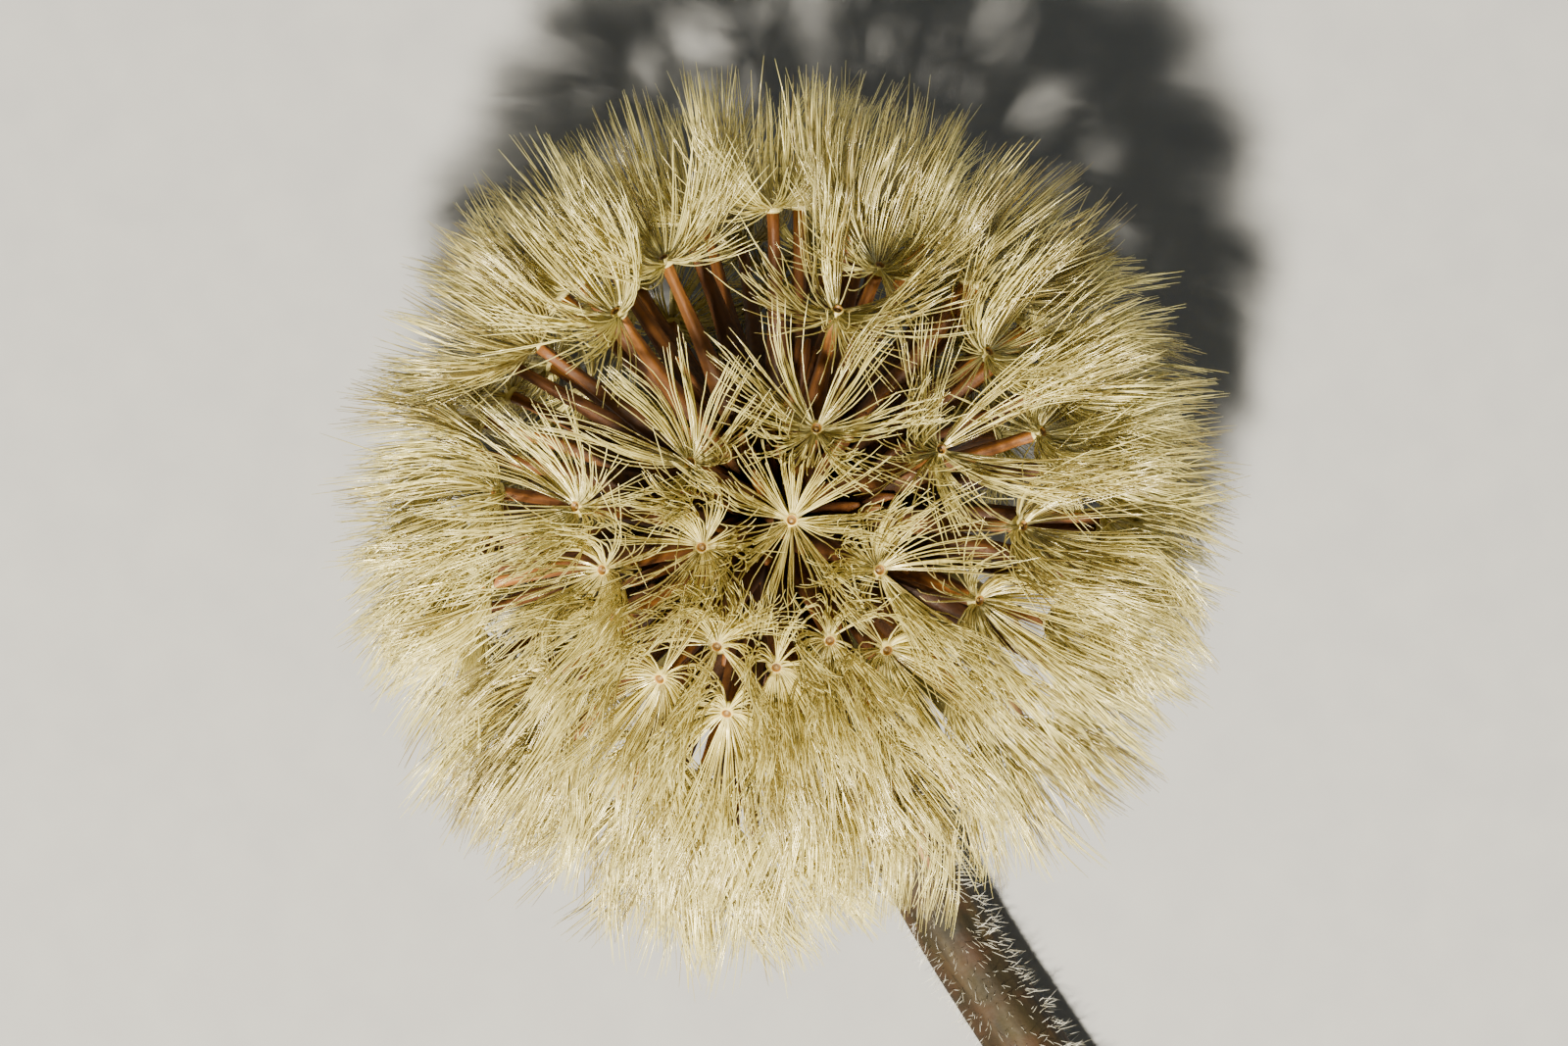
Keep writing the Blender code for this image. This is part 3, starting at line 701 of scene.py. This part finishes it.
def lock_of_bristles(turn, lean, outward_turn, sweep, gathered, rng):
    """The bristles of one lock from root to tip, about an achene's axis that points along +Z."""
    turns, polars, across = lock_angles(turn, lean, gathered, rng)
    ways = swept_ways(turns, polars, outward_turn, sweep)
    length = BRISTLE_LENGTH * rng.uniform(*LOCK_LENGTH)
    length = length * rng.uniform(SHORTEST_IN_LOCK, 1, (BRISTLES_IN_LOCK, 1))
    length = length * (1 - SHORTER_AT_EDGE * np.abs(across[:, :1]) / HALF_LOCK)
    steps = ways * length[..., None] * np.diff(STEP_ENDS)[:, None]
    root = np.stack((np.cos(turns[:, 0]), np.sin(turns[:, 0]), np.zeros(len(turns))), -1)
    root = root * ROOT_OUT + (0, 0, rng.uniform(*ROOT_UP) * MM)
    return np.concatenate((root[:, None], root[:, None] + np.cumsum(steps, axis=1)), axis=1)


def in_picture(points):
    """Where points show in the picture, across and up, in metres at the head's centre."""
    across = np.array([PICTURE_RIGHT, PICTURE_UP]).T
    return (points @ across) / (1 - points[..., 2:] / EYE_DISTANCE)


def hides_a_ring(points, direction, directions):
    """Which of a tuft's bristles would lie over a ring that the picture shows.

    The front tufts' fans are kept clear too, at a spot a little outside each of their rings.
    """
    seen = directions[:SEEN_RINGS]
    other = RING_CLEAR if direction in seen else WIDE_RING_CLEAR
    clear = [OWN_RING_CLEAR if d == direction else other for d in seen]
    clear += [0 if seen[k] == direction else FRONT_CLEAR for k in FRONT_TUFTS]
    rings = np.array(seen) * TUFT_RADIUS
    fans = rings[list(FRONT_TUFTS)] * (FRONT_SHIFT, FRONT_SHIFT, 1)
    spots = np.concatenate((rings, fans))
    finer = np.linspace(points[:, 1:-1], points[:, 2:], 4).swapaxes(0, 1)
    finer = finer.reshape(len(points), -1, 3)
    off = np.linalg.norm(in_picture(finer)[:, :, None] - in_picture(spots), axis=-1)
    return ((off < clear) & (finer[:, :, None, 2] > spots[:, 2])).any(axis=(1, 2))


class Tuft:
    """How one tuft stands on the globe, and how its bristles open."""

    def __init__(self, direction, directions):
        self.direction = direction
        self.axes = turned_to(direction).to_3x3()
        self.room = room_around(direction, directions)
        self.seen = direction in directions[:SEEN_RINGS]
        self.straight = self.seen or direction == directions[LONE_TUFT]
        from_apex = direction.angle(APEX)
        outer = (from_apex - SWEPT_FROM) / (SWEPT_FULLY - SWEPT_FROM)
        self.outer = min(1.0, max(0.0, outer))
        low = max(0.0, (from_apex - SWEPT_FULLY) / (LOWEST_TUFT - SWEPT_FULLY))
        self.sweep = 0 if self.straight else SWEEP * self.outer + (LOWEST_SWEEP - SWEEP) * low
        self.outward_turn = self.turn_of(APEX.cross(direction).cross(direction))
        self.eye_turn = self.turn_of(Vector((0, 0, 1)))
        self.open_lean = math.degrees(math.acos(direction.z)) + OPEN_BY if self.seen else 0
        self.narrowest, self.widest = (
            near + (far - near) * self.outer
            for near, far in zip(OPEN_TUFT, CLOSED_TUFT, strict=True)
        )

    def turn_of(self, way):
        """The turn about the tuft's axis of a way in the frame."""
        local = self.axes.inverted() @ way
        return math.atan2(local.y, local.x)

    def vary(self, rng):
        """Gives a swept tuft a sweep and a side of its own."""
        if not self.straight:
            self.sweep *= rng.uniform(*SWEEP_VARIES)
            self.outward_turn += rng.normal(0, SWEEP_STRAYS)

    def bristle_count(self):
        """How many bristles it has: fewer on the side that lies on the table and at the apex."""
        if self.direction.z <= 0:
            return BRISTLES_UNDER
        return round(BRISTLES_AT_CROWN + (BRISTLES - BRISTLES_AT_CROWN) * self.outer)

    def lean(self, turn):
        """How far a lock at this turn leans from the axis, in degrees."""
        sine = min(ROOM_SINE, self.room(turn) / (ROOM_REACHED * BRISTLE_LENGTH))
        lean = math.degrees(math.asin(sine)) * ROOM_LEAN
        lean = min(self.widest, max(self.narrowest, lean))
        side = self.outer * math.cos(turn - self.outward_turn)
        if side > 0:
            lean += (OUTWARD_LEAN[not self.straight] - lean) * side
        else:
            lean += lean * (1 - INWARD_LEAN) * side
        return max(lean, min(WIDEST_LEAN, self.open_lean) * math.cos(turn - self.eye_turn))


def bristle_curves(direction, directions, rng):
    """The points of one tuft's bristles from the head's centre, and the shade of each."""
    tuft = Tuft(direction, directions)
    count = tuft.bristle_count()
    start = rng.uniform(0, 2 * math.pi)
    # Painted light and shade: a whole tuft darker or paler, as if its fan were lit or shaded.
    tuft_painted_shade = rng.uniform(-TUFT_PAINTED_SHADE, TUFT_PAINTED_SHADE)
    tuft.vary(rng)
    curves, shades = [], []
    for k in range(math.ceil(count * SPARE_BRISTLES / BRISTLES_IN_LOCK)):
        turn = start + GOLDEN * k + rng.uniform(-TURN_VARIES, TURN_VARIES)
        turn -= OUTWARD_SHARE * tuft.outer * math.sin(turn - tuft.outward_turn)
        lean = tuft.lean(turn) * rng.uniform(*LEAN_VARIES)
        gathered = GATHERED[tuft.seen]
        curves.append(lock_of_bristles(turn, lean, tuft.outward_turn, tuft.sweep, gathered, rng))
        tone = tuft_painted_shade + rng.uniform(*LOCK_TONE)
        tones = tone + rng.uniform(-BRISTLE_TONE, BRISTLE_TONE, BRISTLES_IN_LOCK)
        shades.append(np.clip(tones, 0, 1))
    placed = np.concatenate(curves) @ np.array(tuft.axes).T + np.array(direction) * TUFT_RADIUS
    kept = ~hides_a_ring(placed, direction, directions)
    return placed[kept][:count], np.concatenate(shades)[kept][:count]


def pressed(points, rng):
    """Bristles that would reach into the table, bent to lie on it and outwards."""
    points = points + np.array(HEAD)
    floor = BRISTLE_RADIUS * BRISTLE_TAPER[0] + rng.uniform(0, PRESSED_PILE, (len(points), 1))
    under = np.maximum(floor - points[..., 2], 0)
    outward = points[..., :2] - np.array(HEAD)[:2]
    outward /= np.maximum(np.linalg.norm(outward, axis=-1, keepdims=True), 1e-6)
    points[..., :2] += outward * (under * PRESSED_OUT)[..., None]
    points[..., 2] = np.maximum(points[..., 2], floor)
    return points


def build_pappus(directions, finish):
    """The tufts' bristles, in a few pieces that each hold a slice of the globe."""
    rng = np.random.default_rng(SEED)
    frame_of_head = turned_to(APEX).to_3x3().inverted()
    turn_of = [math.atan2(*(frame_of_head @ d).yx) for d in directions]
    order = np.argsort(turn_of)
    profile = np.linspace(*BRISTLE_TAPER[:2], len(BRISTLE_STEPS) + 1)
    profile[-1] = BRISTLE_TAPER[2]
    for part, members in enumerate(np.array_split(order, PIECES_OF_PAPPUS), 1):
        curves, shades, facing = [], [], []
        for k in members:
            points, tones = bristle_curves(directions[k], directions, rng)
            curves.append(pressed(points, rng))
            shades.append(tones)
            facing.append(np.tile(np.array(directions[k]), (len(points), 1)))
        curves = np.concatenate(curves)
        radii = np.tile(profile * BRISTLE_RADIUS, (len(curves), 1))
        piece = laid(
            f"pappus_bristles_{part}", 3, curves, radii,
            np.concatenate(facing), np.concatenate(shades),
        )  # fmt: skip
        dress(piece, finish, "pappus", "pappus_tufts")


def hub_mesh():
    """The ring at a tuft's foot, with a dimple and a dot in it."""
    bm = bmesh.new()
    bmesh.ops.create_circle(bm, cap_ends=True, segments=HUB_CORNERS, radius=HUB_FOOT)
    (cap,) = bm.faces
    for rise, scale in HUB_LEVELS:
        cap = extruded(bm, cap, (0, 0, rise * MM))
        bmesh.ops.scale(bm, verts=cap.verts, vec=(scale, scale, 1))
    for width, rise in HUB_INSETS:
        bmesh.ops.inset_region(bm, faces=[cap], thickness=width * MM, depth=rise * MM)
    bmesh.ops.recalc_face_normals(bm, faces=bm.faces)
    return mesh_of(bm, "hub")


def build_hubs(directions, finish):
    """A ring at the foot of each tuft, shaded by the distance from its middle."""
    hub = hub_mesh()
    bm = bmesh.new()
    for direction in directions:
        before = len(bm.verts)
        bm.from_mesh(hub)
        bm.verts.ensure_lookup_table()
        place = Matrix.Translation(HEAD + direction * TUFT_RADIUS) @ turned_to(direction)
        bmesh.ops.transform(bm, verts=bm.verts[before:], matrix=place)
    mesh = mesh_of(bm, "tuft_rings")
    out = [math.hypot(v.co.x, v.co.y) / HUB_RADIUS for v in hub.vertices]
    attribute(mesh, "out", np.tile(np.clip(out, 0, 1), len(directions)))
    mesh.shade_smooth()
    dress(shown("tuft_rings", mesh), finish, "pappus", "pappus_tufts")


# Achenes


def achene_root(direction):
    """Where an achene's foot sits in the receptacle's dome, from the head's centre."""
    polar = direction.angle(APEX) * ROOT_SHARE
    side = (direction - APEX * direction.dot(APEX)).normalized()
    reach = 1 / math.hypot(
        math.sin(polar) / RECEPTACLE_RADIUS, math.cos(polar) / RECEPTACLE_DOME
    )
    return (APEX * math.cos(polar) + side * math.sin(polar)) * (reach - ACHENE_SUNK)


def build_achenes(directions, finish):
    """The achenes that carry the tufts, each a little bowed."""
    rng = np.random.default_rng(SEED + 1)
    shares = np.linspace(0, 1, ACHENE_RINGS)
    widths = read_along(ACHENE_RADII, shares)
    curves, radii = [], []
    for direction in directions:
        root = np.array(HEAD + achene_root(direction))
        tip = np.array(HEAD + direction * (TUFT_RADIUS + ACHENE_IN_RING))
        bow = np.cross(rng.normal(size=3), tip - root)
        bow = bow / np.linalg.norm(bow) * rng.uniform(0, ACHENE_BOW) * MM
        line = root + (tip - root) * shares[:, None]
        curves.append(line + bow * np.sin(math.pi * shares)[:, None])
        radii.append(widths * MM * rng.uniform(*ACHENE_VARIES))
    facing = unit(rng.normal(size=(len(directions), 3)))
    piece = laid(
        "achenes", ACHENE_CORNERS, np.array(curves), np.array(radii), facing,
        rng.uniform(0, 1, len(directions)), ribs=ACHENE_RIBS,
    )  # fmt: skip
    dress(piece, finish, "achenes", "achenes_on_receptacle")


def build_inner_achenes(finish):
    """The short barren achenes between the others; they also fill the head's inside as painted
    shade.
    """
    rng = np.random.default_rng(SEED + 4)
    shares = np.linspace(0, 1, INNER_ACHENE_RINGS)
    widths = read_along(INNER_ACHENE_RADII, shares)
    curves, radii = [], []
    for polar, direction in globe_directions(INNER_ACHENES):
        if polar > LOWEST_TUFT:
            continue
        root = achene_root(direction)
        tip = direction * rng.uniform(*INNER_ACHENE_TIPS) * MM
        tip = tip + Vector(rng.normal(size=3)) * 0.5 * MM
        curves.append(np.array(HEAD + root) + np.array(tip - root) * shares[:, None])
        radii.append(widths * MM * rng.uniform(*INNER_ACHENE_VARIES))
    facing = unit(rng.normal(size=(len(curves), 3)))
    # Their tones stop short of the palest, so they come out darker: painted shade inside the head.
    piece = laid(
        "inner_achenes", INNER_ACHENE_CORNERS, np.array(curves), np.array(radii), facing,
        rng.uniform(0, 0.7, len(curves)), ribs=INNER_ACHENE_RIBS,
    )  # fmt: skip
    dress(piece, finish, "achenes")


def build_receptacle(finish):
    """A flattened ball, cut flat where the collar sits."""
    bm = bmesh.new()
    bmesh.ops.create_uvsphere(bm, u_segments=64, v_segments=40, radius=RECEPTACLE_RADIUS)
    bmesh.ops.scale(bm, verts=bm.verts, vec=(1, 1, RECEPTACLE_DOME / RECEPTACLE_RADIUS))
    cut = bmesh.ops.bisect_plane(
        bm,
        geom=[*bm.verts, *bm.edges, *bm.faces],
        plane_co=(0, 0, -RECEPTACLE_CUT),
        plane_no=(0, 0, -1),
        clear_outer=True,
    )
    rim = [item for item in cut["geom_cut"] if isinstance(item, bmesh.types.BMEdge)]
    bmesh.ops.contextual_create(bm, geom=rim)
    bmesh.ops.recalc_face_normals(bm, faces=bm.faces)
    place = Matrix.Translation(HEAD) @ turned_to(APEX)
    bmesh.ops.transform(bm, verts=bm.verts, matrix=place)
    mesh = mesh_of(bm, "receptacle")
    mesh.shade_smooth()
    dress(shown("receptacle", mesh), finish, "achenes", "achenes_on_receptacle")


# Stalk


def stalk_path():
    """Points and radii of the stalk from under the head to its cut end, relative to the head."""
    point = STALK_WAY * (RECEPTACLE_CUT + COLLAR_HEIGHT + 2 * SEAT_GAP)
    first_pitch = math.pi / 2 - APEX_LEAN
    table = -HEAD_HEIGHT + NECK_RADIUS
    arc_drop = NECK_BEND * (1 - math.cos(first_pitch))
    straight = (point.z - table - arc_drop) / math.sin(first_pitch)
    arc = NECK_BEND * first_pitch
    total = straight + arc + STALK_ON_TABLE
    steps = round(total / STALK_STEP)
    fine = 20  # small steps from each point to the next
    step = total / (steps * fine)
    path = [(point.copy(), COLLAR_FOOT)]
    for k in range(steps * fine):
        along = (k + 0.5) * step
        bent = min(1.0, max(0.0, (along - straight) / arc))
        laid_share = max(0.0, (along - straight - arc) / STALK_ON_TABLE)
        pitch = first_pitch * (1 - bent)
        yaw = APEX_TURN * (1 - bent) + STALK_DRIFT * laid_share
        point += step * Vector(
            (
                math.cos(pitch) * math.cos(yaw),
                math.cos(pitch) * math.sin(yaw),
                -math.sin(pitch),
            )
        )
        if (k + 1) % fine == 0:
            radius = NECK_RADIUS + (STALK_END_RADIUS - NECK_RADIUS) * laid_share
            swollen = max(0.0, 1 - along / SWELLING) ** 2
            resting = point + Vector((0, 0, radius - NECK_RADIUS))
            path.append((resting, radius + (COLLAR_FOOT - NECK_RADIUS) * swollen))
    return path


def smooth_rows(rows, count):
    """Rows of numbers, each read at more places along a smooth curve through them."""
    places = np.linspace(0, len(rows) - 1, count)
    index = np.clip(places.astype(int), 0, len(rows) - 2)
    share = (places - index)[:, None]
    padded = np.concatenate((2 * rows[:1] - rows[1:2], rows, 2 * rows[-1:] - rows[-2:-1]))
    before, start, end, after = (padded[index + k] for k in range(4))
    return start + 0.5 * share * (
        end - before + share * (2 * before - 5 * start + 4 * end - after
        + share * (3 * (start - end) + after - before))
    )  # fmt: skip


def build_stalk(path, skin, down):
    """The ridged skin along the stalk's path, and the down on it."""
    rows = np.array([[*point, radius] for point, radius in path])
    fine = smooth_rows(rows, STALK_RINGS)
    points = fine[:, :3] + np.array(HEAD)
    radii = fine[:, 3] * STALK_INSIDE
    piece = laid(
        "stalk_skin", STALK_CORNERS, points[None], radii[None], np.array([[0.0, 0.0, 1.0]]),
        np.array([0.5]), ribs=STALK_RIBS,
    )  # fmt: skip
    dress(piece, skin, "stalk", "stalk")
    build_down(points, radii, down)


def build_down(points, radii, finish):
    """Short hairs that stand out from the stalk and lean along it."""
    rng = np.random.default_rng(SEED + 2)
    count = STALK_HAIRS
    place = rng.uniform(1, len(points) - 2, count)
    index = place.astype(int)
    share = (place - index)[:, None]
    foot = points[index] * (1 - share) + points[index + 1] * share
    way = unit(points[index + 1] - points[index])
    out = unit(np.cross(way, unit(rng.normal(size=(count, 3)))))
    lean = unit(out + way * rng.uniform(*HAIR_LEANS, (count, 1)))
    droop = unit(rng.normal(size=(count, 3))) * HAIR_DROOP
    length = rng.uniform(*HAIR_LENGTHS, (count, 1)) * MM
    steps = np.array([0, 0.5, 1])
    base = foot + out * (radii[index][:, None] - HAIR_SUNK)
    curves = np.stack([base + (lean * s + droop * s * s) * length for s in steps], axis=1)
    kept = curves[..., 2].min(axis=1) > HAIR_CLEAR
    curves = curves[kept]
    widths = np.tile(np.array(HAIR_RADII) * MM, (len(curves), 1))
    piece = laid("stalk_down", 3, curves, widths, out[kept], rng.uniform(0, 1, len(curves)))
    dress(piece, finish, "stalk")


# Bracts


def clear_of_stalk(point, path):
    """The point, moved away from the stalk where it lies too near."""
    for (start, _), (end, radius) in pairwise(path):
        way = end - start
        share = min(1.0, max(0.0, (point - start).dot(way) / way.length_squared))
        off = point - start.lerp(end, share)
        if off.length < radius + BRACT_CLEAR:
            point = point + off * ((radius + BRACT_CLEAR) / off.length - 1)
    return point


def bract_line(row, place, path):
    """The middle line of one bract, root to tip, relative to the head's centre."""
    length, first, last = BRACT_ROWS[row]
    turn = 2 * math.pi * (place + 0.5 * row) / BRACTS_IN_ROW
    side = turned_to(STALK_WAY).to_3x3() @ Vector((math.cos(turn), math.sin(turn), 0))
    share = 0.3 + 0.2 * row
    down = RECEPTACLE_CUT + SEAT_GAP + COLLAR_HEIGHT * share
    out = COLLAR_TOP + (COLLAR_FOOT - COLLAR_TOP) * share - BRACT_SUNK
    point = STALK_WAY * down + side * out
    line = [point.copy()]
    for k in range(BRACT_STEPS):
        share = k / (BRACT_STEPS - 1)
        angle = math.radians(first + (last - first) * share)
        way = STALK_WAY * math.cos(angle) + side * math.sin(angle)
        point += way * (length * MM / BRACT_STEPS)
        point = clear_of_stalk(point, path)
        point.z = max(point.z, -HEAD_HEIGHT + BRACT_THICKNESS)
        line.append(point.copy())
    return line, side


def build_bracts(path, finish):
    """Two rows of narrow flat bracts, bent back from the collar."""
    rng = np.random.default_rng(SEED + 3)
    places = [(row, k) for row in range(len(BRACT_ROWS)) for k in range(BRACTS_IN_ROW)]
    shares = np.linspace(0, 1, BRACT_RINGS)
    widths = read_along(BRACT_SHAPE, shares)
    curves, radii, facing = [], [], []
    for row, place in places:
        line, side = bract_line(row, place, path)
        points = smooth_rows(np.array([list(p) for p in line]), BRACT_RINGS) + np.array(HEAD)
        curves.append(points)
        radii.append(widths * BRACT_WIDTH / 2 * rng.uniform(*BRACT_VARIES))
        facing.append(np.array(side))
    piece = laid(
        "bract_blades", BRACT_CORNERS, np.array(curves), np.array(radii), np.array(facing),
        rng.uniform(0, 1, len(places)), flat=BRACT_FLATNESS, ribs=BRACT_RIBS,
    )  # fmt: skip
    dress(piece, finish, "bracts", "bracts")


def build_collar(finish):
    """The collar that the bracts grow from."""
    bm = bmesh.new()
    bmesh.ops.create_cone(
        bm,
        cap_ends=True,
        segments=44,
        radius1=COLLAR_TOP,
        radius2=COLLAR_FOOT,
        depth=COLLAR_HEIGHT,
    )
    rims = [edge for edge in bm.edges if abs(edge.verts[0].co.z - edge.verts[1].co.z) < 1e-6]
    bmesh.ops.bevel(
        bm, geom=rims, affect="EDGES", offset=0.35 * MM, segments=3, profile=0.5, material=-1
    )
    middle = STALK_WAY * (RECEPTACLE_CUT + SEAT_GAP + COLLAR_HEIGHT / 2)
    place = Matrix.Translation(HEAD + middle) @ turned_to(STALK_WAY)
    bmesh.ops.transform(bm, verts=bm.verts, matrix=place)
    mesh = mesh_of(bm, "collar")
    mesh.shade_smooth()
    dress(shown("collar", mesh), finish, "bracts", "bracts")


# Setting


def build_table():
    """The plain floor under it."""
    bm = bmesh.new()
    bmesh.ops.create_grid(bm, x_segments=1, y_segments=1, size=1.2)
    table = shown("table", mesh_of(bm, "table"))
    table.data.materials.append(table_finish())


def area_light(name, place, power, size, colour):
    """A square lamp at a place relative to the head, turned to it."""
    light = bpy.data.lights.new(name, "AREA")
    light.energy = power
    light.size = size
    light.color = colour
    obj = bpy.data.objects.new(name, light)
    obj.location = HEAD + place
    obj.rotation_euler = (-place).to_track_quat("-Z", "Y").to_euler()
    bpy.context.scene.collection.objects.link(obj)


def build_lights():
    """A dim room, a small warm lamp low in the picture, and a wide cool one across from it."""
    world = bpy.data.worlds.new("soft_room")
    bpy.context.scene.world = world
    world.use_nodes = True
    background = world.node_tree.nodes["Background"]
    background.inputs["Color"].default_value = (0.93, 0.95, 0.92, 1)
    background.inputs["Strength"].default_value = 0.07
    key = (-PICTURE_RIGHT * 0.12 - PICTURE_UP * 0.44 + Vector((0, 0, 0.75))) * 0.8
    area_light("key", key, power=26, size=0.05, colour=(1.0, 0.935, 0.79))
    fill = (PICTURE_RIGHT * 0.6 + PICTURE_UP * 0.45 + Vector((0, 0, 0.5))) * 0.9
    area_light("fill", fill, power=1.0, size=0.5, colour=(0.84, 0.93, 1.0))


def build_camera():
    """The camera looks straight down on the head."""
    camera = bpy.data.cameras.new("camera")
    camera.sensor_width = 36
    frame_width = PICTURE_WIDTH / PIXELS_PER_MM * MM
    camera.lens = camera.sensor_width * EYE_DISTANCE / frame_width
    camera.clip_start = 0.01
    obj = bpy.data.objects.new("camera", camera)
    rise = PICTURE_UP * (HEAD_UNDER_MIDDLE / PIXELS_PER_MM * MM)
    obj.location = HEAD + rise + Vector((0, 0, EYE_DISTANCE))
    obj.rotation_euler = (0, 0, -PICTURE_TURN)
    bpy.context.scene.collection.objects.link(obj)
    bpy.context.scene.camera = obj


build_camera()
build_table()
build_lights()
tufts = tuft_directions(random.Random(SEED))
route = stalk_path()
pale_down = down_finish()
bract_paper = bract_finish()
build_pappus(tufts, silk())
build_hubs(tufts, ring_finish())
achene_husk = husk()
build_achenes(tufts, achene_husk)
build_inner_achenes(achene_husk)
build_receptacle(pith())
build_stalk(route, stalk_skin_with_painted_shade(), pale_down)
build_bracts(route, bract_paper)
build_collar(bract_paper)
